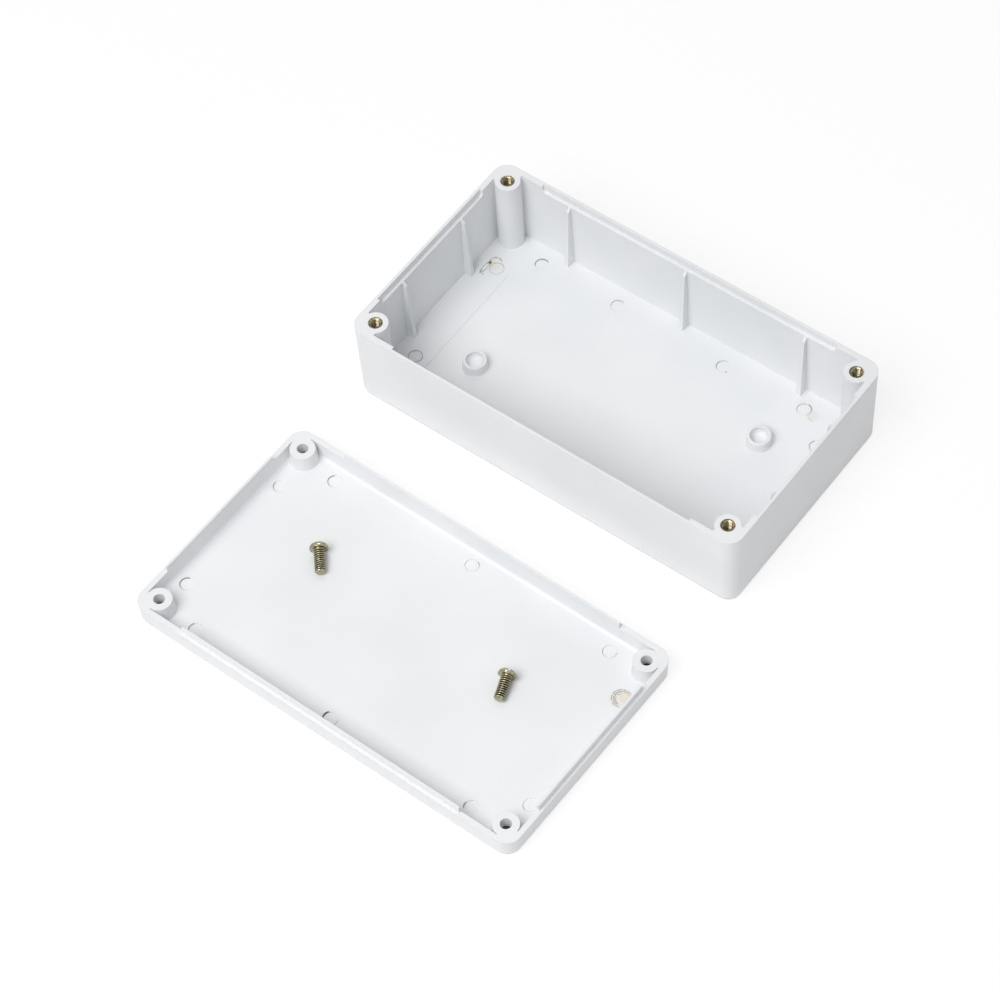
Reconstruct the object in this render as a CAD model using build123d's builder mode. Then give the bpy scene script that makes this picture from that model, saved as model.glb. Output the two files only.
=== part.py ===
"""Two-part plastic project box, standing open with its lid lying beside it.

The base stands at the origin with its rim up. The lid lies in front of it with its inner side up,
and two of its screws lie in it. Four brass threaded inserts sit in the corner bosses of the base.
Millimetres, +Z up, origin at the centre of the base's underside.
"""

import os
from math import asin, atan2, cos, degrees, radians, sin

from build123d import *

# Outline that the base and the lid share, measured where they meet
box_length = 125.0
box_width = 70.0
corner_radius = 4.3

# Screw pattern: the distance of each screw's axis from the two outer faces at its corner
screw_inset = 5.3
boss_x = box_length / 2 - screw_inset
boss_y = box_width / 2 - screw_inset

# Base shell
base_height = 27.6
base_floor = 2.2
base_wall = 1.7
base_outer_draft = 0.6
base_inner_draft = 0.1
base_edge_radius = 1.2
base_depth = base_height - base_floor

# Step inside the base's rim between the corner bosses, which takes the lid's tongue
rim_strip = 0.8
step_depth = 2.3
step_end_radius = 1.2
step_half_length = 48.2
step_half_width = 23.0
step_z = base_height - step_depth

# Corner bosses of the base, and how far the solid corner outside each reaches past its axis along
# the long wall and along the short wall
boss_top_radius = 3.55
boss_foot_radius = 3.7
corner_reach_long = 2.2
corner_reach_short = 1.6

# Wall ribs of the base, deeper and thicker towards the floor
rib_top_thickness = 0.8
rib_foot_thickness = 1.4
rib_top_depth = 1.2
long_rib_foot_depth = 2.8
short_rib_foot_depth = 2.4
rib_root = 0.6
long_rib_spacing = 38.8
short_rib_y = 13.1

# Standoff cups on the base's floor
cup_x = 38.9
cup_y = 11.6
cup_height = 3.0
cup_foot_radius = 3.65
cup_top_radius = 3.35
cup_bowl_radius = 2.55
cup_bowl_depth = 2.2
cup_bowl_fillet = 1.5
cup_edge_chamfer = 0.2

# Brass threaded inserts
insert_radius = 2.0
insert_length = 5.8
insert_bore_radius = 1.25
insert_mouth_radius = 1.5
insert_clear_radius = 1.6
insert_clear_depth = 12.0

# Lid
lid_height = 6.4
lid_floor = 1.4
lid_wall = 1.55
lid_outer_draft = 0.35
lid_inner_draft = 0.25
lid_edge_radius = 1.0
lid_cove_radius = 1.1
lid_boss_top_radius = 3.55
lid_boss_foot_radius = 4.0
lid_hole_radius = 1.55
lid_head_pocket_radius = 3.0
lid_head_pocket_depth = 2.6
lid_depth = lid_height - lid_floor

# Tongue on the lid's rim between the bosses, which fits the step in the base
seam_gap = 0.1
tongue_height = 2.0
tongue_half_length = 45.7
tongue_half_width = 21.8

# Moulded pips on the lid's inner walls: two on the left wall, one on the back wall
pip_radius = 0.35
pip_height = 0.3
pip_z = 4.4
left_pip_back_y = 12.1
left_pip_front_y = -13.2
back_pip_x = 46.4

# Where the lid lies, and how far it is turned about the vertical
lid_x = -1.8
lid_y = -93.1
lid_turn = -0.9

# Lid screws, M3 with a slotted domed head
screw_radius = 1.5
screw_length = 7.3
screw_tip_chamfer = 0.4
head_radius = 2.55
head_rim_height = 0.4
head_height = 1.6
slot_width = 0.8
slot_depth = 1.0

# Where the two loose screws lie on the lid's floor: the middle of the head's underside, the
# direction from head to tip as an angle about the vertical, and the slot's turn about the axis
screw_places = {
    "screw_left": (-36.2, -84.1, -49.0, -45.0),
    "screw_right": (28.1, -87.1, -72.0, 75.0),
}

corners = {
    "front_left": (-boss_x, -boss_y),
    "front_right": (boss_x, -boss_y),
    "back_left": (-boss_x, boss_y),
    "back_right": (boss_x, boss_y),
}


def draft_angle(drop, run):
    """Angle in degrees of a face that leans by run over a height of drop."""
    return degrees(atan2(run, drop))


def wall_rib(foot_depth):
    """Rib from the floor, at Z = 0, up to the step, reaching towards -Y from a wall's face at Y = 0."""
    wedge_z = step_z - base_floor - rib_top_depth
    foot_reach = base_inner_draft + foot_depth
    with BuildPart() as rib:
        with BuildSketch():
            with Locations((0, (rib_root - foot_reach) / 2)):
                Rectangle(rib_foot_thickness, rib_root + foot_reach)
        with BuildSketch(Plane.XY.offset(wedge_z)):
            with Locations((0, (rib_root - rib_top_depth) / 2)):
                Rectangle(rib_top_thickness, rib_root + rib_top_depth)
        loft()
        with BuildSketch(Plane.YZ):
            with BuildLine():
                Polyline(
                    (rib_root, wedge_z),
                    (-rib_top_depth, wedge_z),
                    (0, wedge_z + rib_top_depth),
                    (rib_root, wedge_z + rib_top_depth),
                    close=True,
                )
            make_face()
        extrude(amount=rib_top_thickness / 2, both=True)
    return rib.part


long_rib = wall_rib(long_rib_foot_depth)
short_rib = wall_rib(short_rib_foot_depth)
long_rib_places = (-long_rib_spacing, 0.0, long_rib_spacing)

# Base: tapered shell with a rounded underside edge
with BuildPart() as base:
    with BuildSketch(Plane.XY.offset(base_height)):
        RectangleRounded(box_length, box_width, corner_radius)
    extrude(amount=-base_height, taper=draft_angle(base_height, base_outer_draft))
    fillet(base.faces().sort_by(Axis.Z)[0].edges(), radius=base_edge_radius)

    # Cavity
    with BuildSketch(Plane.XY.offset(base_height)):
        RectangleRounded(box_length - 2 * base_wall, box_width - 2 * base_wall, corner_radius - base_wall)
    extrude(amount=-base_depth, taper=draft_angle(base_depth, base_inner_draft), mode=Mode.SUBTRACT)

    # Solid corners outside the bosses
    with BuildSketch(Plane.XY.offset(base_floor)):
        RectangleRounded(box_length - base_wall, box_width - base_wall, corner_radius - base_wall / 2)
        Rectangle(2 * (boss_x - corner_reach_long), box_width, mode=Mode.SUBTRACT)
        Rectangle(box_length, 2 * (boss_y - corner_reach_short), mode=Mode.SUBTRACT)
    extrude(amount=base_depth)

    # Corner bosses, each with a blind hole for its insert and the screw's tip
    with Locations(Plane.XY.offset(base_floor)):
        with GridLocations(2 * boss_x, 2 * boss_y, 2, 2):
            Cone(boss_foot_radius, boss_top_radius, base_depth, align=(Align.CENTER, Align.CENTER, Align.MIN))
    with BuildSketch(Plane.XY.offset(base_height)):
        with GridLocations(2 * boss_x, 2 * boss_y, 2, 2):
            Circle(insert_radius)
    extrude(amount=-insert_length, mode=Mode.SUBTRACT)
    with BuildSketch(Plane.XY.offset(base_height)):
        with GridLocations(2 * boss_x, 2 * boss_y, 2, 2):
            Circle(insert_clear_radius)
    extrude(amount=-insert_clear_depth, mode=Mode.SUBTRACT)

    # Step in the long walls, then in the short walls, with rounded lower ends
    with BuildSketch(Plane.XZ) as long_step:
        with Locations((0, base_height)):
            Rectangle(2 * step_half_length, 2 * step_depth)
        fillet(long_step.vertices().group_by(Axis.Z)[0], radius=step_end_radius)
    extrude(amount=box_width / 2 - rim_strip, both=True, mode=Mode.SUBTRACT)
    with BuildSketch(Plane.YZ) as short_step:
        with Locations((0, base_height)):
            Rectangle(2 * step_half_width, 2 * step_depth)
        fillet(short_step.vertices().group_by(Axis.Z)[0], radius=step_end_radius)
    extrude(amount=box_length / 2 - rim_strip, both=True, mode=Mode.SUBTRACT)

    # Three ribs on each long wall and two on each short wall
    long_face = box_width / 2 - base_wall
    with Locations(
        *(Location((rib_x, long_face, base_floor)) for rib_x in long_rib_places),
        *(Location((rib_x, -long_face, base_floor), (0, 0, 180)) for rib_x in long_rib_places),
    ):
        add(long_rib)
    short_face = box_length / 2 - base_wall
    with Locations(
        *(Location((-short_face, rib_y, base_floor), (0, 0, 90)) for rib_y in (-short_rib_y, short_rib_y)),
        *(Location((short_face, rib_y, base_floor), (0, 0, -90)) for rib_y in (-short_rib_y, short_rib_y)),
    ):
        add(short_rib)

    # Two standoff cups on the floor, at opposite corners of a rectangle
    for cup_side in (-1, 1):
        with Locations((cup_side * cup_x, cup_side * cup_y, base_floor)):
            Cone(cup_foot_radius, cup_top_radius, cup_height, align=(Align.CENTER, Align.CENTER, Align.MIN))
    for cup_side in (-1, 1):
        with BuildSketch(Plane.XZ.offset(-cup_side * cup_y)):
            with BuildLine():
                top_z = base_floor + cup_height
                bottom_z = top_z - cup_bowl_depth
                axis_x = cup_side * cup_x
                Line((axis_x, top_z), (axis_x + cup_bowl_radius, top_z))
                Line((axis_x + cup_bowl_radius, top_z), (axis_x + cup_bowl_radius, bottom_z + cup_bowl_fillet))
                RadiusArc(
                    (axis_x + cup_bowl_radius, bottom_z + cup_bowl_fillet),
                    (axis_x + cup_bowl_radius - cup_bowl_fillet, bottom_z),
                    cup_bowl_fillet,
                )
                Line((axis_x + cup_bowl_radius - cup_bowl_fillet, bottom_z), (axis_x, bottom_z))
                Line((axis_x, bottom_z), (axis_x, top_z))
            make_face()
        revolve(axis=Axis((axis_x, cup_side * cup_y, 0), (0, 0, 1)), mode=Mode.SUBTRACT)
    cup_rims = base.edges().filter_by(GeomType.CIRCLE).filter_by(
        lambda edge: abs(edge.center().Z - base_floor - cup_height) < 0.01
        and abs(edge.radius - cup_top_radius) < 0.01
    )
    chamfer(cup_rims, length=cup_edge_chamfer)

base.part.label = "base"


# Lid, modelled at the origin with its inner side up
with BuildPart() as lid_shape:
    with BuildSketch(Plane.XY.offset(lid_height)):
        RectangleRounded(box_length, box_width, corner_radius)
    extrude(amount=-lid_height, taper=draft_angle(lid_height, lid_outer_draft))
    fillet(lid_shape.faces().sort_by(Axis.Z)[0].edges(), radius=lid_edge_radius)

    # Shallow cavity with coved floor edges
    with BuildSketch(Plane.XY.offset(lid_height)):
        RectangleRounded(box_length - 2 * lid_wall, box_width - 2 * lid_wall, corner_radius - lid_wall)
    extrude(amount=-lid_depth, taper=draft_angle(lid_depth, lid_inner_draft), mode=Mode.SUBTRACT)
    inner_floor = lid_shape.faces().filter_by(
        lambda face: abs(face.center().Z - lid_floor) < 0.01 and abs(face.normal_at().Z) > 0.99
    )
    fillet(inner_floor.edges(), radius=lid_cove_radius)

    # Solid corners outside the bosses
    with BuildSketch(Plane.XY.offset(lid_floor)):
        RectangleRounded(box_length - lid_wall, box_width - lid_wall, corner_radius - lid_wall / 2)
        Rectangle(2 * boss_x, box_width, mode=Mode.SUBTRACT)
        Rectangle(box_length, 2 * boss_y, mode=Mode.SUBTRACT)
    extrude(amount=lid_depth)

    # Bosses, drilled through, with a pocket for each screw's head on the outer side
    with Locations(Plane.XY.offset(lid_floor)):
        with GridLocations(2 * boss_x, 2 * boss_y, 2, 2):
            Cone(
                lid_boss_foot_radius, lid_boss_top_radius, lid_depth, align=(Align.CENTER, Align.CENTER, Align.MIN)
            )
    with BuildSketch():
        with GridLocations(2 * boss_x, 2 * boss_y, 2, 2):
            Circle(lid_hole_radius)
    extrude(amount=lid_height, mode=Mode.SUBTRACT)
    with BuildSketch():
        with GridLocations(2 * boss_x, 2 * boss_y, 2, 2):
            Circle(lid_head_pocket_radius)
    extrude(amount=lid_head_pocket_depth, mode=Mode.SUBTRACT)

    # Tongue along the four walls, flush with their inner faces
    tongue_outset = rim_strip + seam_gap
    tongue_thickness = lid_wall - tongue_outset
    with BuildSketch(Plane.XY.offset(lid_height)):
        with GridLocations(0, box_width - 2 * tongue_outset - tongue_thickness, 1, 2):
            Rectangle(2 * tongue_half_length, tongue_thickness)
        with GridLocations(box_length - 2 * tongue_outset - tongue_thickness, 0, 2, 1):
            Rectangle(tongue_thickness, 2 * tongue_half_width)
    extrude(amount=tongue_height)

    # Moulded pips on the inner walls
    left_inner_x = -box_length / 2 + lid_wall + lid_inner_draft / 2
    back_inner_y = box_width / 2 - lid_wall - lid_inner_draft / 2
    with Locations(
        Location((left_inner_x, left_pip_back_y, pip_z), (0, 90, 0)),
        Location((left_inner_x, left_pip_front_y, pip_z), (0, 90, 0)),
        Location((back_pip_x, back_inner_y, pip_z), (90, 0, 0)),
    ):
        Cylinder(pip_radius, 2 * pip_height)

lid = lid_shape.part.moved(Location((lid_x, lid_y, 0), (0, 0, lid_turn)))
lid.label = "lid"


# Insert, modelled at the origin with its mouth up
with BuildPart() as insert_shape:
    with BuildSketch():
        Circle(insert_radius)
    extrude(amount=-insert_length)
    with BuildSketch():
        Circle(insert_bore_radius)
    extrude(amount=-insert_length, mode=Mode.SUBTRACT)
    mouth = insert_shape.edges().filter_by(GeomType.CIRCLE).filter_by(
        lambda edge: abs(edge.center().Z) < 0.01 and abs(edge.radius - insert_bore_radius) < 0.01
    )
    chamfer(mouth, length=insert_mouth_radius - insert_bore_radius)


# The head's dome is part of a sphere: its radius and the angle that it spans from its top
dome_height = head_height - head_rim_height
dome_radius = (head_radius**2 + dome_height**2) / (2 * dome_height)
dome_angle = asin(head_radius / dome_radius)

# Screw, modelled along X with its tip towards +X and the middle of the head's underside at the origin
with BuildPart() as screw_shape:
    with BuildSketch(Plane.XZ):
        with BuildLine():
            ThreePointArc(
                (-head_height, 0),
                (-head_height + dome_radius * (1 - cos(dome_angle / 2)), dome_radius * sin(dome_angle / 2)),
                (-head_rim_height, head_radius),
            )
            Polyline(
                (-head_rim_height, head_radius),
                (0, head_radius),
                (0, screw_radius),
                (screw_length - screw_tip_chamfer, screw_radius),
                (screw_length, screw_radius - screw_tip_chamfer),
                (screw_length, 0),
                (-head_height, 0),
            )
        make_face()
    revolve(axis=Axis.X)
    with Locations((-head_height, 0, 0)):
        Box(2 * slot_depth, 3 * head_radius, slot_width, mode=Mode.SUBTRACT)

# A loose screw rests on the rim of its head and on the edge of its tip
rest_run = screw_length - screw_tip_chamfer
rest_tilt = degrees(atan2(head_radius - screw_radius, rest_run))
rest_height = lid_floor + head_radius * cos(radians(rest_tilt))


os.makedirs("parts", exist_ok=True)
export_step(base.part, "parts/base.step")
export_step(lid, "parts/lid.step")

for corner, (insert_x, insert_y) in corners.items():
    insert = insert_shape.part.moved(Location((insert_x, insert_y, base_height)))
    insert.label = f"insert_{corner}"
    export_step(insert, f"parts/insert_{corner}.step")

for screw_name, (head_x, head_y, heading, roll) in screw_places.items():
    screw = screw_shape.part.moved(
        Location((head_x, head_y, rest_height))
        * Location((0, 0, 0), (0, 0, heading))
        * Location((0, 0, 0), (0, rest_tilt, 0))
        * Location((0, 0, 0), (roll, 0, 0))
    )
    screw.label = screw_name
    export_step(screw, f"parts/{screw_name}.step")
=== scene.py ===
"""Studio scene of a plastic project box: open base, lid lying beside it and two loose screws.

Everything is in metres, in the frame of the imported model: the origin is the centre of the base's
underside, +X runs along the base's long side, +Y away from the lid and +Z up. Sizes in the classes
are in millimetres.
"""

import logging
import math
from collections.abc import Iterator
from dataclasses import dataclass, field
from enum import Enum

import bmesh
import bpy
from mathutils import Matrix, Vector


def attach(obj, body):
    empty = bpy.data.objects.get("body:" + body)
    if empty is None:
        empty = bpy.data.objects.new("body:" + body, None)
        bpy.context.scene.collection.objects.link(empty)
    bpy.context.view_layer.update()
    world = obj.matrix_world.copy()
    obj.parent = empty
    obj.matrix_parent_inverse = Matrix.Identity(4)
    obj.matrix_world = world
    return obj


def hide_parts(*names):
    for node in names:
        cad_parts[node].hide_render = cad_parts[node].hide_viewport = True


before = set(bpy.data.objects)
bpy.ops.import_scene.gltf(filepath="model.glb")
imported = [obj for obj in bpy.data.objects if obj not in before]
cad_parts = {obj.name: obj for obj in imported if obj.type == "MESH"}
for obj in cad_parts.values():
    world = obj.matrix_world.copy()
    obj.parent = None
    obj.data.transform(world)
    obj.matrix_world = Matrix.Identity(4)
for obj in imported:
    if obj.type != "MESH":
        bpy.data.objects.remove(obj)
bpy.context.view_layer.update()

LOG = logging.getLogger("project_box")
MM = 0.001
WHITE = "#FFFFFF"
# A mark of cover 0 is painted where its noise is over the first value, which is only at the peaks.
# At cover 1 the threshold is lower by the second, and hardly anything stays unpainted
SPECK_PEAK, SPECK_SPREAD = 0.64, 0.3
# The noise values between which a finish's gloss goes from its one end to the other
NOISE_LOW, NOISE_HIGH = 0.3, 0.7


def linear(hex_colour: str) -> tuple[float, float, float, float]:
    """Turn an sRGB colour into linear RGBA.

    Args:
        hex_colour: The colour as #RRGGBB.

    Returns:
        Red, green, blue and an alpha of 1, each 0 to 1.
    """
    channels = [int(hex_colour[i:i + 2], 16) / 255 for i in (1, 3, 5)]
    return tuple(c / 12.92 if c <= 0.04045 else ((c + 0.055) / 1.055) ** 2.4
                 for c in channels) + (1.0,)


def add(tree: bpy.types.NodeTree, kind: str, inputs: dict[str | int, object] | None = None,
        **settings: object) -> bpy.types.Node:
    """Add a node with its settings, constants and links.

    Args:
        tree: The shader or geometry tree.
        kind: The node's type name.
        inputs: For each input, by name or number, a socket to link, a node whose first output is
            linked, or a constant to set.
        settings: The node's own properties.

    Returns:
        The new node.
    """
    node = tree.nodes.new(kind)
    for name, value in settings.items():
        setattr(node, name, value)
    for key, value in (inputs or {}).items():
        if isinstance(value, bpy.types.Node):
            value = value.outputs[0]
        if isinstance(value, bpy.types.NodeSocket):
            tree.links.new(value, node.inputs[key])
        else:
            node.inputs[key].default_value = value
    return node


def new_material(name: str) -> tuple[bpy.types.Material, bpy.types.NodeTree, bpy.types.NodeSocket]:
    """Make an empty node material.

    Args:
        name: The material's name.

    Returns:
        The material, its tree and the Surface input of its output node.
    """
    material = bpy.data.materials.new(name)
    material.use_nodes = True
    tree = material.node_tree
    tree.nodes.clear()
    output = add(tree, "ShaderNodeOutputMaterial")
    return material, tree, output.inputs["Surface"]


def mesh_object(name: str, mesh: bpy.types.Mesh) -> bpy.types.Object:
    """Put a mesh into the scene as an object at the origin.

    Args:
        name: The object's name.
        mesh: Its mesh.

    Returns:
        The new object.
    """
    piece = bpy.data.objects.new(name, mesh)
    bpy.context.scene.collection.objects.link(piece)
    return piece


def dress(piece: bpy.types.Object, material: bpy.types.Material) -> None:
    """Give a piece one material in all its slots.

    Args:
        piece: The piece.
        material: The material.
    """
    if not piece.material_slots:
        piece.data.materials.append(material)
    for slot in piece.material_slots:
        slot.material = material


def keep_result(piece: bpy.types.Object, modifier: bpy.types.Modifier) -> None:
    """Make a modifier's result the piece's plain mesh and remove the modifier.

    Args:
        piece: The piece, which has no other modifier.
        modifier: The modifier, with all its inputs set.
    """
    bpy.context.view_layer.update()
    evaluated = piece.evaluated_get(bpy.context.evaluated_depsgraph_get())
    result = bpy.data.meshes.new_from_object(evaluated)
    piece.modifiers.remove(modifier)
    piece.data = result


def set_input(modifier: bpy.types.Modifier, name: str, value: object) -> None:
    """Set a Geometry Nodes modifier's input through its socket's identifier.

    Args:
        modifier: The modifier, with its tree assigned.
        name: The input's name in the tree.
        value: The value to set.
    """
    for item in modifier.node_group.interface.items_tree:
        if item.item_type == "SOCKET" and item.in_out == "INPUT" and item.name == name:
            modifier[item.identifier] = value
            return
    raise KeyError(name)


def bake_nodes(piece: bpy.types.Object, tree: bpy.types.NodeTree,
               values: dict[str, object]) -> None:
    """Run a Geometry Nodes tree on a piece and keep its result as a plain mesh.

    Args:
        piece: The object whose mesh goes in and comes out.
        tree: The geometry tree.
        values: Its inputs by name.
    """
    modifier = piece.modifiers.new("nodes", "NODES")
    modifier.node_group = tree
    for name, value in values.items():
        set_input(modifier, name, value)
    keep_result(piece, modifier)


def geometry_tree(name: str, inputs: dict[str, tuple[str, object]]
                  ) -> tuple[bpy.types.NodeTree, bpy.types.Node, bpy.types.Node]:
    """Start a Geometry Nodes tree with named inputs.

    Args:
        name: The tree's name.
        inputs: For each input its socket type and default.

    Returns:
        The tree, its group input node and its group output node.
    """
    tree = bpy.data.node_groups.new(name, "GeometryNodeTree")
    tree.interface.new_socket("Geometry", in_out="INPUT", socket_type="NodeSocketGeometry")
    for label, (kind, default) in inputs.items():
        socket = tree.interface.new_socket(label, in_out="INPUT", socket_type=kind)
        if default is not None:
            socket.default_value = default
    tree.interface.new_socket("Geometry", in_out="OUTPUT", socket_type="NodeSocketGeometry")
    return tree, add(tree, "NodeGroupInput"), add(tree, "NodeGroupOutput")


def close_tree(tree: bpy.types.NodeTree, geometry: bpy.types.NodeSocket, source: bpy.types.Node,
               target: bpy.types.Node) -> None:
    """End a geometry tree in Realize Instances and Set Material.

    Args:
        tree: The tree.
        geometry: The geometry so far.
        source: The group input node, which has a Material input.
        target: The group output node.
    """
    real = add(tree, "GeometryNodeRealizeInstances", {"Geometry": geometry})
    dressed = add(tree, "GeometryNodeSetMaterial", {
        "Geometry": real.outputs["Geometry"], "Material": source.outputs["Material"]})
    tree.links.new(dressed.outputs["Geometry"], target.inputs["Geometry"])


@dataclass(frozen=True)
class StainAndShade:
    """Dirt and painted shade on a moulding's floor: a spot, or an arc along the edge of a round
    mark.
    """

    centre: tuple[float, float]
    radius: float
    colour: str
    strength: float
    width: float = 0.0                   # 0 for a filled spot
    facing: float = 0.0                  # degrees about the centre, the middle of an arc
    span: float = 360.0                  # degrees
    stretch: float = 1.0                 # its length along Y over its width
    soft: float = 0.2                    # the width over which it fades
    grain: float = 0.35                  # the distance between its specks
    cover: float = 0.6                   # share of it that is painted
    speck_edge: float = 0.08             # how gradually a speck ends, in noise values
    arc_ends: tuple[float, float] = (0.08, 0.12)   # how gradually an arc ends, out and in

    def mask(self, tree: bpy.types.NodeTree, place: bpy.types.NodeSocket,
             floor: float) -> bpy.types.NodeSocket:
        """Build the mark's mask.

        Args:
            tree: The material's tree.
            place: The Object coordinates.
            floor: The height of the moulding's floor in millimetres.

        Returns:
            A socket from 0 to the mark's strength.
        """
        middle = (self.centre[0] * MM, self.centre[1] * MM, floor * MM)
        moved = add(tree, "ShaderNodeVectorMath", {0: place, 1: middle}, operation="SUBTRACT")
        spread = add(tree, "ShaderNodeVectorMath", {0: moved, 1: (1.0, 1.0 / self.stretch, 1.0)},
                     operation="MULTIPLY")
        away = add(tree, "ShaderNodeVectorMath", {0: spread}, operation="LENGTH").outputs["Value"]
        if self.width:
            off = add(tree, "ShaderNodeMath", {0: away, 1: self.radius * MM}, operation="SUBTRACT")
            away = add(tree, "ShaderNodeMath", {0: off}, operation="ABSOLUTE").outputs[0]
        reach = (self.width / 2 if self.width else self.radius) * MM
        fade = self.soft * MM / 2
        shape = add(tree, "ShaderNodeMapRange", {
            "Value": away, "From Min": reach + fade, "From Max": reach - fade},
            interpolation_type="SMOOTHSTEP")
        if self.span < 360:
            angle = math.radians(self.facing)
            way = add(tree, "ShaderNodeVectorMath", {0: spread}, operation="NORMALIZE")
            along = add(tree, "ShaderNodeVectorMath", {
                0: way, 1: (math.cos(angle), math.sin(angle), 0.0)},
                operation="DOT_PRODUCT").outputs["Value"]
            edge = math.cos(math.radians(self.span / 2))
            end = add(tree, "ShaderNodeMapRange", {
                "Value": along, "From Min": edge - self.arc_ends[0],
                "From Max": edge + self.arc_ends[1]}, interpolation_type="SMOOTHSTEP")
            shape = add(tree, "ShaderNodeMath", {0: shape, 1: end}, operation="MULTIPLY")
        specks = add(tree, "ShaderNodeTexNoise", {
            "Vector": place, "Scale": 1 / (self.grain * MM), "Detail": 3.0})
        bare = SPECK_PEAK - SPECK_SPREAD * self.cover
        broken = add(tree, "ShaderNodeMapRange", {
            "Value": specks, "From Min": bare - self.speck_edge,
            "From Max": bare + self.speck_edge})
        # The painted share of the mark, for dirt and painted shade alike
        painted_share = add(tree, "ShaderNodeMath", {0: shape, 1: broken}, operation="MULTIPLY")
        return add(tree, "ShaderNodeMath", {0: painted_share, 1: self.strength},
                   operation="MULTIPLY").outputs[0]


def painted_shade_arc(pin: tuple[float, float], facing: float, span: float, colour: str,
              strength: float = 0.8) -> StainAndShade:
    """The thin darker line painted along part of an ejector mark's edge, as painted shade of the
    recess's wall.

    Args:
        pin: The mark's centre in millimetres.
        facing: The middle of the line in degrees about the centre.
        span: Its length in degrees.
        colour: The painted shade's colour.
        strength: How strongly the shade is painted, 0 to 1.

    Returns:
        The line.
    """
    return StainAndShade(pin, 1.93, colour, strength, 0.2, facing, span, soft=0.12, grain=3.0, cover=1.3)


@dataclass(frozen=True)
class MouldedAbs:
    """White ABS, injection moulded against a fine spark-eroded steel mould.

    To the eye it is a cool, slightly grey white with a soft satin sheen, very even, with a faint
    change of tone where the melt flowed and edges that are never quite sharp.
    """

    name: str
    floor: float                  # height of the inner floor on which the stains and painted shade lie
    stains_and_shade: tuple[StainAndShade, ...] = ()
    colour: str = "#EBECEE"
    shade: str = "#E6E8EA"
    ior: float = 1.53
    roughness: float = 0.45
    gloss_swing: float = 0.04
    grain_mm: float = 0.25        # the mould's grit is near 0.05 mm, drawn coarser so that it shows
    grain_height_mm: float = 0.003
    grain_strength: float = 0.5
    flow_mm: float = 28.0
    flow_change: tuple[float, float] = (0.35, 0.65)   # noise values at which the tone changes
    edge_mm: float = 0.14         # the rounding with which edges are shaded

    def make(self) -> bpy.types.Material:
        """Build the material.

        Returns:
            The material.
        """
        material, tree, surface = new_material(self.name)
        place = add(tree, "ShaderNodeTexCoord").outputs["Object"]
        flow = add(tree, "ShaderNodeTexNoise", {
            "Vector": place, "Scale": 1 / (self.flow_mm * MM), "Detail": 2.0, "Roughness": 0.4})
        share = add(tree, "ShaderNodeMapRange", {
            "Value": flow, "From Min": self.flow_change[0], "From Max": self.flow_change[1]})
        colour = add(tree, "ShaderNodeMix", {
            0: share, 6: linear(self.colour), 7: linear(self.shade)}, data_type="RGBA").outputs[2]
        # Stains, and painted shade at the ejector marks, mixed over the colour
        for floor_mark in self.stains_and_shade:
            colour = add(tree, "ShaderNodeMix", {
                0: floor_mark.mask(tree, place, self.floor), 6: colour, 7: linear(floor_mark.colour)},
                data_type="RGBA").outputs[2]
        grain = add(tree, "ShaderNodeTexNoise", {
            "Vector": place, "Scale": 1 / (self.grain_mm * MM), "Detail": 2.0})
        gloss = add(tree, "ShaderNodeMapRange", {
            "Value": grain, "From Min": NOISE_LOW, "From Max": NOISE_HIGH,
            "To Min": self.roughness - self.gloss_swing,
            "To Max": self.roughness + self.gloss_swing})
        rounded = add(tree, "ShaderNodeBevel", {"Radius": self.edge_mm * MM}, samples=6)
        bump = add(tree, "ShaderNodeBump", {
            "Strength": self.grain_strength, "Distance": self.grain_height_mm * MM,
            "Height": grain, "Normal": rounded})
        plastic = add(tree, "ShaderNodeBsdfPrincipled", {
            "Base Color": colour, "Roughness": gloss, "IOR": self.ior, "Normal": bump})
        tree.links.new(plastic.outputs["BSDF"], surface)
        return material


class MetalKind(Enum):
    """The two metals of the box's hardware."""

    TURNED_BRASS = "turned_brass"
    YELLOW_ZINC = "yellow_zinc"


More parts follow.
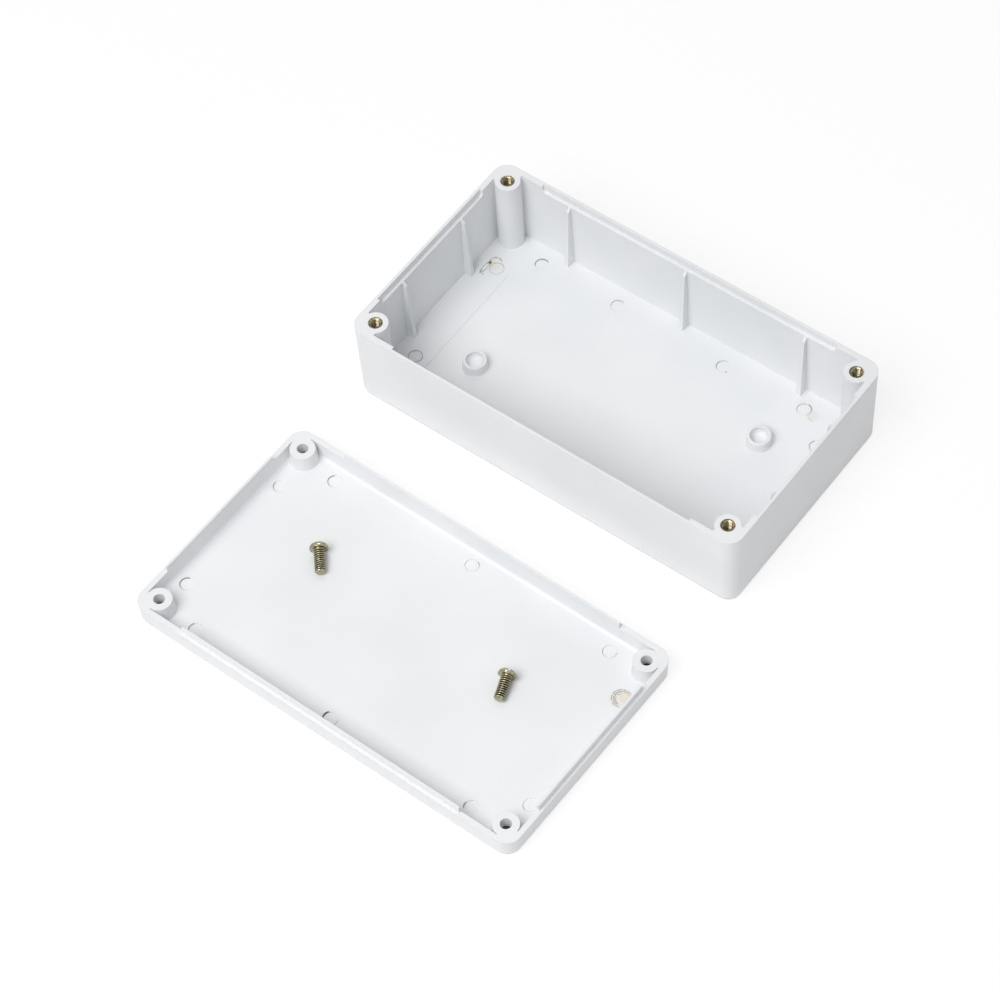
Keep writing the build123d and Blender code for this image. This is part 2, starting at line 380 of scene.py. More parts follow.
@dataclass(frozen=True)
class HardwareMetal:
    """A turned or plated metal whose grooves are painted dark, as painted shade."""

    kind: MetalKind
    colour: str
    tarnish: str
    groove: str
    roughness: float
    mottle_mm: float = 0.6
    tarnish_change: tuple[float, float] = (0.42, 0.7)   # noise values, from clean to tarnished
    groove_change: tuple[float, float] = (0.2, 0.8)     # shares of a groove's depth, from unshaded to full painted shade
    gloss_swing: tuple[float, float] = (-0.04, 0.05)

    def make(self) -> bpy.types.Material:
        """Build the material, which reads the attribute groove, each point's depth, and paints deep
        points dark as shade.

        Returns:
            The material.
        """
        material, tree, surface = new_material(self.kind.value)
        place = add(tree, "ShaderNodeTexCoord").outputs["Object"]
        mottle = add(tree, "ShaderNodeTexNoise", {
            "Vector": place, "Scale": 1 / (self.mottle_mm * MM), "Detail": 3.0})
        share = add(tree, "ShaderNodeMapRange", {
            "Value": mottle, "From Min": self.tarnish_change[0],
            "From Max": self.tarnish_change[1]})
        colour = add(tree, "ShaderNodeMix", {
            0: share, 6: linear(self.colour), 7: linear(self.tarnish)},
            data_type="RGBA").outputs[2]
        # Painted shade: the deeper a point lies in a groove, the nearer its colour goes to the
        # groove colour
        depth = add(tree, "ShaderNodeAttribute", attribute_name="groove",
                    attribute_type="GEOMETRY").outputs["Fac"]
        dark = add(tree, "ShaderNodeMapRange", {
            "Value": depth, "From Min": self.groove_change[0], "From Max": self.groove_change[1]},
            interpolation_type="SMOOTHSTEP")
        colour = add(tree, "ShaderNodeMix", {0: dark, 6: colour, 7: linear(self.groove)},
                     data_type="RGBA").outputs[2]
        gloss = add(tree, "ShaderNodeMapRange", {
            "Value": mottle, "From Min": NOISE_LOW, "From Max": NOISE_HIGH,
            "To Min": self.roughness + self.gloss_swing[0],
            "To Max": self.roughness + self.gloss_swing[1]})
        metal = add(tree, "ShaderNodeBsdfPrincipled", {
            "Base Color": colour, "Metallic": 1.0, "Roughness": gloss})
        tree.links.new(metal.outputs["BSDF"], surface)
        return material


# Free-cutting brass, turned and left bare: to the eye a greyish gold that mirrors the room on its
# lands, with painted shade, dark brown, in the bore's thread and in the valleys of the knurl
BRASS = HardwareMetal(MetalKind.TURNED_BRASS, "#A0967A", "#5A5036", "#120E08", 0.06)
# Cold-headed steel, zinc plated and passivated yellow: to the eye a pale olive gold, bright on the
# rolled thread's crests, with painted shade, nearly black, in its roots
ZINC = HardwareMetal(MetalKind.YELLOW_ZINC, "#B4AF95", "#77714F", "#0E0C07", 0.09)


def lathe(name: str, profile: list[tuple[float, float, float, float]], segments: int,
          closed: bool) -> bpy.types.Object:
    """Turn a profile about Z into a mesh whose points carry how far thread and knurl move them.

    Args:
        name: The object's name.
        profile: Radius, height, thread weight and knurl weight of each ring, in metres, with the
            surface's outer side on the right when it is walked from first to last.
        segments: Points in each ring.
        closed: Whether the last ring joins the first, or else both ends close in a face.

    Returns:
        The new object, with float attributes thread and knurl.
    """
    verts, faces, thread, knurl = [], [], [], []
    for radius, height, thread_weight, knurl_weight in profile:
        for step in range(segments):
            angle = 2 * math.pi * step / segments
            verts.append((radius * math.cos(angle), radius * math.sin(angle), height))
            thread.append(thread_weight)
            knurl.append(knurl_weight)
    rings = len(profile)
    for ring in range(rings if closed else rings - 1):
        above = (ring + 1) % rings
        for step in range(segments):
            after = (step + 1) % segments
            faces.append((ring * segments + step, ring * segments + after,
                          above * segments + after, above * segments + step))
    if not closed:
        for ring, turned in ((0, True), (rings - 1, False)):
            loop = [ring * segments + step for step in range(segments)]
            faces.append(tuple(reversed(loop)) if turned else tuple(loop))
    mesh = bpy.data.meshes.new(name)
    mesh.from_pydata(verts, [], faces)
    for label, values in (("thread", thread), ("knurl", knurl)):
        mesh.attributes.new(label, "FLOAT", "POINT").data.foreach_set("value", values)
    mesh.update()
    return mesh_object(name, mesh)


# Where on the thread's wave, 0 at the crest to 1 at the root, its flat root starts
ROOT_START = 0.95
# The knurl's wave, 1 on a tooth to -1 in a valley, at the edge of a land and where the flat valley
# starts
LAND_EDGE, VALLEY_START = 0.85, -0.7


def turned_detail_tree() -> bpy.types.NodeTree:
    """Build the tree that cuts a screw thread and a straight knurl into a turned part.

    Returns:
        A tree with inputs Pitch, Crest, the flat crest's share of half a pitch, Thread Depth, Knurl
        Count, Knurl Depth and Material. It leaves a float attribute groove, 0 on the lands to 1 at
        the bottom of a cut.
    """
    tree, source, target = geometry_tree("turned_detail", {
        "Pitch": ("NodeSocketFloat", 0.0005),
        "Crest": ("NodeSocketFloat", 0.12),
        "Thread Depth": ("NodeSocketFloat", 0.0003),
        "Knurl Count": ("NodeSocketFloat", 24.0),
        "Knurl Depth": ("NodeSocketFloat", 0.0001),
        "Material": ("NodeSocketMaterial", None),
    })
    given = source.outputs
    place = add(tree, "GeometryNodeInputPosition")
    parts = add(tree, "ShaderNodeSeparateXYZ", {0: place}).outputs
    angle = add(tree, "ShaderNodeMath", {0: parts["Y"], 1: parts["X"]}, operation="ARCTAN2")
    turn = add(tree, "ShaderNodeMath", {0: angle, 1: 2 * math.pi}, operation="DIVIDE")
    rise = add(tree, "ShaderNodeMath", {0: parts["Z"], 1: given["Pitch"]}, operation="DIVIDE")
    helix = add(tree, "ShaderNodeMath", {0: rise, 1: turn}, operation="SUBTRACT")
    double = add(tree, "ShaderNodeMath", {0: helix, 1: 2.0}, operation="MULTIPLY")
    # A rounded wave along the helix, as rolling leaves it, with flats at crest and root
    wave = add(tree, "ShaderNodeMath", {0: double, 1: 1.0}, operation="PINGPONG")
    flat = add(tree, "ShaderNodeMapRange", {
        "Value": wave, "From Min": given["Crest"], "From Max": ROOT_START},
        interpolation_type="SMOOTHSTEP")
    thread = add(tree, "GeometryNodeInputNamedAttribute", {"Name": "thread"}, data_type="FLOAT")
    knurl = add(tree, "GeometryNodeInputNamedAttribute", {"Name": "knurl"}, data_type="FLOAT")
    threaded = add(tree, "ShaderNodeMath", {0: flat, 1: thread}, operation="MULTIPLY")
    cut = add(tree, "ShaderNodeMath", {0: threaded, 1: given["Thread Depth"]},
              operation="MULTIPLY")
    # Narrow lands and broad valleys around the knurl
    teeth = add(tree, "ShaderNodeMath", {0: angle, 1: given["Knurl Count"]}, operation="MULTIPLY")
    tooth = add(tree, "ShaderNodeMath", {0: teeth}, operation="COSINE")
    valley = add(tree, "ShaderNodeMapRange", {
        "Value": tooth, "From Min": LAND_EDGE, "From Max": VALLEY_START})
    knurled = add(tree, "ShaderNodeMath", {0: valley, 1: knurl}, operation="MULTIPLY")
    notch = add(tree, "ShaderNodeMath", {0: knurled, 1: given["Knurl Depth"]},
                operation="MULTIPLY")
    depth = add(tree, "ShaderNodeMath", {0: cut, 1: notch}, operation="ADD")
    inward = add(tree, "ShaderNodeMath", {0: depth, 1: -1.0}, operation="MULTIPLY")
    level = add(tree, "ShaderNodeCombineXYZ", {"X": parts["X"], "Y": parts["Y"]})
    outward = add(tree, "ShaderNodeVectorMath", {0: level}, operation="NORMALIZE")
    shift = add(tree, "ShaderNodeVectorMath", {0: outward, "Scale": inward}, operation="SCALE")
    # How deep a point lies in a cut, which the metal paints dark as shade
    groove = add(tree, "ShaderNodeMath", {0: threaded, 1: knurled}, operation="MAXIMUM")
    marked = add(tree, "GeometryNodeStoreNamedAttribute", {
        "Geometry": given["Geometry"], "Name": "groove", "Value": groove},
        data_type="FLOAT", domain="POINT")
    moved = add(tree, "GeometryNodeSetPosition", {"Geometry": marked, "Offset": shift})
    close_tree(tree, moved.outputs["Geometry"], source, target)
    return tree


@dataclass
class LooseScrew:
    """A slotted M3 screw with a domed head, lying on the lid's floor."""

    node: str
    body: str
    head: tuple[float, float]      # middle of the head's underside
    heading: float                 # degrees, from head to tip
    roll: float                    # degrees, the slot about the axis from level
    floor: float = 1.4
    shank_radius: float = 1.5
    length: float = 7.3            # head seat to tip
    tip_chamfer: float = 0.4
    head_radius: float = 2.55
    head_seat: float = -0.45       # the round head's underside, below the head's middle plane
    head_rim: float = -0.1
    # Inset and rise of each ring that rounds the head's lower edge
    head_edge: tuple[tuple[float, float], ...] = ((0.15, 0.0), (0.03, 0.05), (0.0, 0.15))
    head_height: float = 1.6
    slot_width: float = 0.8
    slot_depth: float = 1.1
    pitch: float = 0.62            # the real one is 0.5, drawn coarser so that the turns show
    crest: float = 0.12
    thread_depth: float = 0.3
    neck: float = 0.1              # bare shank under the head
    run_out: tuple[float, float] = (0.3, 0.2)   # where the thread fades, at the tip and the neck
    tip_ring: float = 0.15         # the small faces that close the tip and the crown
    crown_ring: float = 0.02
    dome_rings: int = 12
    rows_per_pitch: int = 12
    segments: int = 96
    smooth_angle: float = 55.0

    def pose(self) -> Matrix:
        """Find where the screw's own axis, +Z from tip to head, goes in the frame.

        Returns:
            The screw's place, which rests on its head's rim and its tip's edge.
        """
        lean = math.atan2(self.head_radius - self.shank_radius, self.length - self.tip_chamfer)
        height = self.floor + self.head_radius * math.cos(lean)
        return (Matrix.Translation((self.head[0] * MM, self.head[1] * MM, height * MM))
                @ Matrix.Rotation(math.radians(self.heading), 4, "Z")
                @ Matrix.Rotation(lean, 4, "Y")
                @ Matrix.Rotation(math.radians(self.roll), 4, "X")
                @ Matrix.Rotation(-math.pi / 2, 4, "Y"))

    def profile(self) -> list[tuple[float, float, float, float]]:
        """The screw's half section from tip to crown.

        Returns:
            Rings of radius, height, thread weight and knurl weight, in metres.
        """
        rings = [(self.tip_ring, -self.length, 0),
                 (self.shank_radius - self.tip_chamfer, -self.length, 0)]
        start = -self.length + self.tip_chamfer
        end = self.head_seat - self.neck
        rows = round((end - start) / self.pitch * self.rows_per_pitch)
        for row in range(rows + 1):
            height = start + (end - start) * row / rows
            fade = min(1.0, (height - start) / self.run_out[0], (end - height) / self.run_out[1])
            rings.append((self.shank_radius, height, max(fade, 0.0)))
        rings.append((self.shank_radius, self.head_seat, 0))
        for inset, rise in self.head_edge:
            rings.append((self.head_radius - inset, self.head_seat + rise, 0))
        rings.append((self.head_radius, self.head_rim, 0))
        dome = self.head_height - self.head_rim
        for step in range(1, self.dome_rings + 1):
            angle = math.pi / 2 * step / self.dome_rings
            rings.append((max(self.head_radius * math.cos(angle), self.crown_ring),
                          self.head_rim + dome * math.sin(angle), 0))
        return [(radius * MM, height * MM, thread, 0.0) for radius, height, thread in rings]

    def build(self, tree: bpy.types.NodeTree, material: bpy.types.Material) -> bpy.types.Object:
        """Turn, thread and slot the screw, and lay it down.

        Args:
            tree: The thread and knurl tree.
            material: The plating.

        Returns:
            The finished piece.
        """
        screw = lathe(f"{self.node}_threaded", self.profile(), self.segments, closed=False)
        bake_nodes(screw, tree, {
            "Pitch": self.pitch * MM, "Crest": self.crest, "Thread Depth": self.thread_depth * MM,
            "Knurl Depth": 0.0, "Material": material})
        # The cutter reaches past the head on all sides but the slot's own
        cut_slot(screw, Vector((self.slot_width, self.head_radius * 3, self.slot_depth * 2)) * MM,
                 Vector((0, 0, self.head_height * MM)))
        screw.data.transform(self.pose())
        shade(screw, self.smooth_angle)
        dress(screw, material)
        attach(screw, self.body)
        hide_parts(self.node)
        return screw


def cut_slot(piece: bpy.types.Object, size: Vector, centre: Vector) -> None:
    """Cut a box out of a piece and keep the result as its mesh.

    Args:
        piece: The piece to cut.
        size: The box's size along X, Y and Z.
        centre: The box's centre.
    """
    low, high = centre - size / 2, centre + size / 2
    corners = [(x, y, z) for x in (low.x, high.x) for y in (low.y, high.y)
               for z in (low.z, high.z)]
    faces = [(0, 1, 3, 2), (4, 6, 7, 5), (0, 4, 5, 1), (2, 3, 7, 6), (0, 2, 6, 4), (1, 5, 7, 3)]
    mesh = bpy.data.meshes.new("slot_cutter")
    mesh.from_pydata(corners, [], faces)
    cutter = mesh_object("slot_cutter", mesh)
    modifier = piece.modifiers.new("slot", "BOOLEAN")
    modifier.operation = "DIFFERENCE"
    modifier.solver = "EXACT"
    modifier.object = cutter
    keep_result(piece, modifier)
    bpy.data.objects.remove(cutter)


def shade(piece: bpy.types.Object, angle: float) -> None:
    """Shade a piece smooth apart from edges sharper than an angle.

    Args:
        piece: The piece.
        angle: The angle in degrees.
    """
    piece.data.shade_smooth()
    piece.data.set_sharp_from_angle(angle=math.radians(angle))


def even_normals(piece: bpy.types.Object) -> None:
    """Weight a piece's normals by face area, so that flat faces stay flat beside rounded edges.

    Args:
        piece: The piece, shaded smooth with its sharp edges marked.
    """
    modifier = piece.modifiers.new("even", "WEIGHTED_NORMAL")
    modifier.keep_sharp = True
    keep_result(piece, modifier)


@dataclass
class ThreadedInsert:
    """A knurled brass insert in a corner boss, its mouth flush with the boss."""

    node: str
    corner: tuple[float, float]
    top: float = 27.6
    radius: float = 2.0
    length: float = 5.8
    low_edge: tuple[float, float] = (0.02, 0.1)    # inset and height of the lower end's rounding
    top_edge: tuple[float, float] = (0.04, 0.04)   # inset of the upper end's, and its depth
    ring_width: float = 0.26       # the flat ring in which the knurl ends, its valleys painted dark as shade
    ring_depth: float = 0.06
    ring_weight: float = 0.8       # how much of the knurl's depth reaches the ring's inner edge
    mouth_radius: float = 1.55
    mouth_depth: float = 0.12
    cone: float = 0.6              # height of the mouth's cone over its width
    thread_radius: float = 1.3
    pitch: float = 0.5
    thread_depth: float = -0.28    # cut outwards, into the sleeve's wall
    run_out: float = 0.3
    knurl_count: int = 22
    knurl_depth: float = 0.2
    rows_per_pitch: int = 12
    segments: int = 176
    smooth_angle: float = 55.0

    def profile(self) -> list[tuple[float, float, float, float]]:
        """The sleeve's closed half section, up its outer side and down its bore.

        Returns:
            Rings of radius, height, thread weight and knurl weight, in metres.
        """
        low = -self.length + self.low_edge[1]
        rings = [(self.radius - self.low_edge[0], -self.length, 0, 0),
                 (self.radius, low, 0, 1),
                 (self.radius, -self.mouth_depth, 0, 1),
                 (self.radius - self.top_edge[0], -self.top_edge[1], 0, 1),
                 (self.radius - self.ring_width, -self.ring_depth, 0, self.ring_weight),
                 (self.mouth_radius, -self.mouth_depth, 0, 0)]
        high = -self.mouth_depth - (self.mouth_radius - self.thread_radius) * self.cone
        rows = round((high - low) / self.pitch * self.rows_per_pitch)
        for row in range(rows + 1):
            height = high - (high - low) * row / rows
            fade = min(1.0, (high - height) / self.run_out, (height - low) / self.run_out)
            rings.append((self.thread_radius, height, fade, 0))
        rings.append((self.thread_radius, -self.length, 0, 0))
        return [(radius * MM, height * MM, thread, knurl)
                for radius, height, thread, knurl in rings]

    def build(self, tree: bpy.types.NodeTree, material: bpy.types.Material) -> bpy.types.Object:
        """Turn, knurl and thread the sleeve and set it in its boss.

        Args:
            tree: The thread and knurl tree.
            material: The brass.

        Returns:
            The finished piece.
        """
        sleeve = lathe(f"{self.node}_knurled", self.profile(), self.segments, closed=True)
        bake_nodes(sleeve, tree, {
            "Pitch": self.pitch * MM, "Thread Depth": self.thread_depth * MM,
            "Knurl Count": float(self.knurl_count), "Knurl Depth": self.knurl_depth * MM,
            "Material": material})
        place = (self.corner[0] * MM, self.corner[1] * MM, self.top * MM)
        sleeve.data.transform(Matrix.Translation(place))
        shade(sleeve, self.smooth_angle)
        dress(sleeve, material)
        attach(sleeve, "base")
        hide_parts(self.node)
        return sleeve


def mould_mark_tree() -> bpy.types.NodeTree:
    """Build the tree that sinks ejector pins and parting lines into a moulding's floor.

    Returns:
        A tree with inputs Marks, an object whose points with the attribute pin are pins and whose
        edges are lines, Pin Radius, Recess, Lean, Line Radius, Seed and Material.
    """
    tree, source, target = geometry_tree("mould_marks", {
        "Marks": ("NodeSocketObject", None),
        "Pin Radius": ("NodeSocketFloat", 0.002),
        "Recess": ("NodeSocketFloat", 0.0003),
        "Lean": ("NodeSocketFloat", 0.02),
        "Line Radius": ("NodeSocketFloat", 0.0001),
        "Seed": ("NodeSocketInt", 7),
        "Material": ("NodeSocketMaterial", None),
    })
    given = source.outputs
    marks = add(tree, "GeometryNodeObjectInfo", {"Object": given["Marks"]}).outputs["Geometry"]
    depth = add(tree, "ShaderNodeMath", {0: given["Recess"], 1: 2.0}, operation="MULTIPLY")
    pin = add(tree, "GeometryNodeMeshCylinder", {
        "Vertices": 64, "Radius": given["Pin Radius"], "Depth": depth}, fill_type="NGON")
    low = add(tree, "ShaderNodeVectorMath", {0: (-1.0, -1.0, 0.0), "Scale": given["Lean"]},
              operation="SCALE")
    high = add(tree, "ShaderNodeVectorMath", {0: (1.0, 1.0, 0.0), "Scale": given["Lean"]},
               operation="SCALE")
    lean = add(tree, "FunctionNodeRandomValue", {0: low, 1: high, "Seed": given["Seed"]},
               data_type="FLOAT_VECTOR")
    is_pin = add(tree, "GeometryNodeInputNamedAttribute", {"Name": "pin"}, data_type="BOOLEAN")
    chosen = next(socket for socket in is_pin.outputs
                  if socket.enabled and socket.name == "Attribute")
    pins = add(tree, "GeometryNodeInstanceOnPoints", {
        "Points": marks, "Selection": chosen, "Instance": pin.outputs["Mesh"], "Rotation": lean})
    real_pins = add(tree, "GeometryNodeRealizeInstances", {"Geometry": pins})
    runs = add(tree, "GeometryNodeMeshToCurve", {"Mesh": marks})
    round_line = add(tree, "GeometryNodeCurvePrimitiveCircle", {
        "Resolution": 6, "Radius": given["Line Radius"]})
    lines = add(tree, "GeometryNodeCurveToMesh", {
        "Curve": runs, "Profile Curve": round_line, "Fill Caps": True})
    cutters = add(tree, "GeometryNodeJoinGeometry", {0: real_pins})
    tree.links.new(lines.outputs["Mesh"], cutters.inputs[0])
    cut = add(tree, "GeometryNodeMeshBoolean", {"Mesh 1": given["Geometry"], "Mesh 2": cutters},
              operation="DIFFERENCE", solver="EXACT")
    close_tree(tree, cut.outputs["Mesh"], source, target)
    return tree


@dataclass
class Moulding:
    """One of the box's two plastic parts, with the marks that its mould left on the inner floor."""

    node: str
    slot: str
    floor: float
    pins: list[tuple[float, float]]                         # centres of the ejector marks
    lines: list[tuple[float, float, float, float]]          # both ends of each line
    pin_radius: float = 1.95
    recess: float = 0.28
    lean: float = 1.2                                       # degrees
    line_radius: float = 0.13
    seed: int = 7
    weld: float = 0.001
    smooth_angle: float = 32.0

    def build(self, tree: bpy.types.NodeTree, material: bpy.types.Material) -> bpy.types.Object:
        """Weld a copy of the node's mesh and sink the marks into it.

        Args:
            tree: The mould mark tree.
            material: The moulding's finish.

        Returns:
            The finished piece.
        """
        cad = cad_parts[self.node].data
        mesh = bpy.data.meshes.new(f"{self.node}_moulded")
        mesh.from_pydata([v.co.copy() for v in cad.vertices], [],
                         [list(face.vertices) for face in cad.polygons])
        shell = bmesh.new()
        shell.from_mesh(mesh)
        bmesh.ops.remove_doubles(shell, verts=shell.verts, dist=self.weld * MM)
        shell.to_mesh(mesh)
        shell.free()
        piece = mesh_object(mesh.name, mesh)
        marks = self.marks()
        bake_nodes(piece, tree, {
            "Marks": marks, "Pin Radius": self.pin_radius * MM, "Recess": self.recess * MM,
            "Lean": math.radians(self.lean), "Line Radius": self.line_radius * MM,
            "Seed": self.seed, "Material": material})
        bpy.data.objects.remove(marks)
        shade(piece, self.smooth_angle)
        even_normals(piece)
        dress(piece, material)
        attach(piece, self.node)
        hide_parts(self.node)
        return piece

    def marks(self) -> bpy.types.Object:
        """Lay out the marks on the floor.

        Returns:
            An object with a loose point for each pin and an edge for each line.
        """
        points = [(x * MM, y * MM, self.floor * MM) for x, y in self.pins]
        edges = []
        for x0, y0, x1, y1 in self.lines:
            edges.append((len(points), len(points) + 1))
            points += [(x0 * MM, y0 * MM, self.floor * MM), (x1 * MM, y1 * MM, self.floor * MM)]
        mesh = bpy.data.meshes.new(f"{self.node}_marks")
        mesh.from_pydata(points, edges, [])
        is_pin = [index < len(self.pins) for index in range(len(points))]
        mesh.attributes.new("pin", "BOOLEAN", "POINT").data.foreach_set("value", is_pin)
        return mesh_object(f"{self.node}_marks", mesh)


@dataclass(frozen=True)
class Studio:
    """White floor, even sky and two soft lamps, with the camera where the photo was taken.

    Its sizes are in metres. The large lamp in front lights everything. The smaller one behind is
    only seen mirrored, as the glints on the hardware and a faint sheen on the moulded floors.
    """

    floor_half: float = 3.0
    floor_white: float = 0.9
    seen_white: float = 1.02         # the floor's level to the camera, away from shadows
    shadow_share: float = 0.22       # how strongly the floor shows the shadow
    hole_reach: float = 0.02         # how far above the floor a hole's walls are felt
    hole_open: tuple[float, float] = (0.1, 0.4)   # openness at which the painted shade leaves the floor dark, and at which it is white
    sky: float = 0.42
    lamp_energy: float = 9.5
    lamp_size: float = 0.75
    lamp_place: tuple[float, float, float] = (-0.06, -0.68, 0.97)
    glint_energy: float = 2.4
    glint_size: float = 0.4
    glint_place: tuple[float, float, float] = (-0.45, 0.44, 0.98)
    target: tuple[float, float, float] = (-0.00782, -0.04228, 0.0)
    azimuth: float = 40.38
    elevation: float = 55.32
    roll: float = 4.55
    distance: float = 0.99288
    focal_pixels: float = 3717.17
    frame_pixels: float = 1000.0
    sensor_mm: float = 36.0
    clip: tuple[float, float] = (0.01, 20.0)

    def build(self) -> None:
        """Set up the floor, the lights, the view and the camera."""
        scene = bpy.context.scene
        scene.view_settings.view_transform = "Standard"
        self.build_floor()
        self.build_world(scene)
        self.build_lamp("soft_lamp", self.lamp_place, self.lamp_size, self.lamp_energy)
        glint = self.build_lamp("glint_lamp", self.glint_place, self.glint_size, self.glint_energy)
        glint.visible_diffuse = False
        self.build_camera(scene)

    def seen_directly(self, tree: bpy.types.NodeTree) -> bpy.types.NodeSocket:
        """Find which rays see a surface as it is, not as light on other surfaces.

        Args:
            tree: The shader tree.

        Returns:
            A socket that is 1 for camera, glossy and transmission rays.
        """
        path = add(tree, "ShaderNodeLightPath").outputs
        either = add(tree, "ShaderNodeMath", {
            0: path["Is Camera Ray"], 1: path["Is Glossy Ray"]}, operation="MAXIMUM")
        return add(tree, "ShaderNodeMath", {0: either, 1: path["Is Transmission Ray"]},
                   operation="MAXIMUM").outputs[0]

    def build_floor(self) -> None:
        """Lay the floor, matt white paper that shows the object's shadow faintly and painted shade
        under holes.
        """
        half = self.floor_half
        mesh = bpy.data.meshes.new("floor")
        corners = [(-half, -half, 0), (half, -half, 0), (half, half, 0), (-half, half, 0)]
        mesh.from_pydata(corners, [], [(0, 1, 2, 3)])
        floor = mesh_object("floor", mesh)
        material, tree, surface = new_material("white_floor")
        plain = add(tree, "ShaderNodeBsdfDiffuse", {"Color": (*[self.floor_white] * 3, 1.0)})
        shadowed = add(tree, "ShaderNodeBsdfDiffuse", {"Color": (*[self.shadow_share] * 3, 1.0)})
        # Painted shade: the floor's glow dims with ambient occlusion, so it stays dark where only a
        # hole opens over it
        openness = add(tree, "ShaderNodeAmbientOcclusion", {"Distance": self.hole_reach},
                       samples=8).outputs["AO"]
        strength = add(tree, "ShaderNodeMapRange", {
            "Value": openness, "From Min": self.hole_open[0], "From Max": self.hole_open[1],
            "To Max": self.seen_white - self.shadow_share})
        glow = add(tree, "ShaderNodeEmission", {"Color": linear(WHITE), "Strength": strength})
        seen = add(tree, "ShaderNodeAddShader", {0: shadowed, 1: glow})
        both = add(tree, "ShaderNodeMixShader", {0: self.seen_directly(tree), 1: plain, 2: seen})
        tree.links.new(both.outputs[0], surface)
        dress(floor, material)

    def build_world(self, scene: bpy.types.Scene) -> None:
        """Make the sky: white to the camera and in reflections, dimmer as light.

        Args:
            scene: The scene.
        """
        world = bpy.data.worlds.new("white_studio")
        world.use_nodes = True
        tree = world.node_tree
        tree.nodes.clear()
        strength = add(tree, "ShaderNodeMapRange", {
            "Value": self.seen_directly(tree), "To Min": self.sky, "To Max": 1.0})
        sky = add(tree, "ShaderNodeBackground", {"Color": linear(WHITE), "Strength": strength})
        output = add(tree, "ShaderNodeOutputWorld", {"Surface": sky})
        output.is_active_output = True
        scene.world = world

    def build_lamp(self, name: str, place: tuple[float, float, float], size: float,
                   energy: float) -> bpy.types.Object:
        """Hang a square soft lamp, turned to the object.

        Args:
            name: The lamp's name.
            place: Where it hangs, in metres.
            size: The length of its side in metres.
            energy: Its power in watts.

        Returns:
            The lamp.
        """
        light = bpy.data.lights.new(name, "AREA")
        light.shape = "SQUARE"
        light.size = size
        light.energy = energy
        lamp = bpy.data.objects.new(name, light)
        bpy.context.scene.collection.objects.link(lamp)
        turn = (Vector(self.target) - Vector(place)).to_track_quat("-Z", "Y")
        lamp.matrix_world = Matrix.Translation(place) @ turn.to_matrix().to_4x4()
        return lamp

    def build_camera(self, scene: bpy.types.Scene) -> None:
        """Place the camera by its azimuth, elevation, roll and distance.

        Args:
            scene: The scene.
        """
        azimuth, elevation, roll = (
            math.radians(angle) for angle in (self.azimuth, self.elevation, self.roll))
        ahead = Vector((-math.sin(azimuth) * math.cos(elevation),
                        math.cos(azimuth) * math.cos(elevation), -math.sin(elevation)))
        right = Vector((math.cos(azimuth), math.sin(azimuth), 0.0))
        down = ahead.cross(right)
        side = right * math.cos(roll) + down * math.sin(roll)
        below = down * math.cos(roll) - right * math.sin(roll)
        turn = Matrix((side, -below, -ahead)).transposed().to_4x4()
        data = bpy.data.cameras.new("camera")
        data.sensor_width = self.sensor_mm
        data.lens = self.focal_pixels * self.sensor_mm / self.frame_pixels
        data.clip_start, data.clip_end = self.clip
        camera = bpy.data.objects.new("camera", data)
        scene.collection.objects.link(camera)
        place = Vector(self.target) - ahead * self.distance
        camera.matrix_world = Matrix.Translation(place) @ turn
        scene.camera = camera


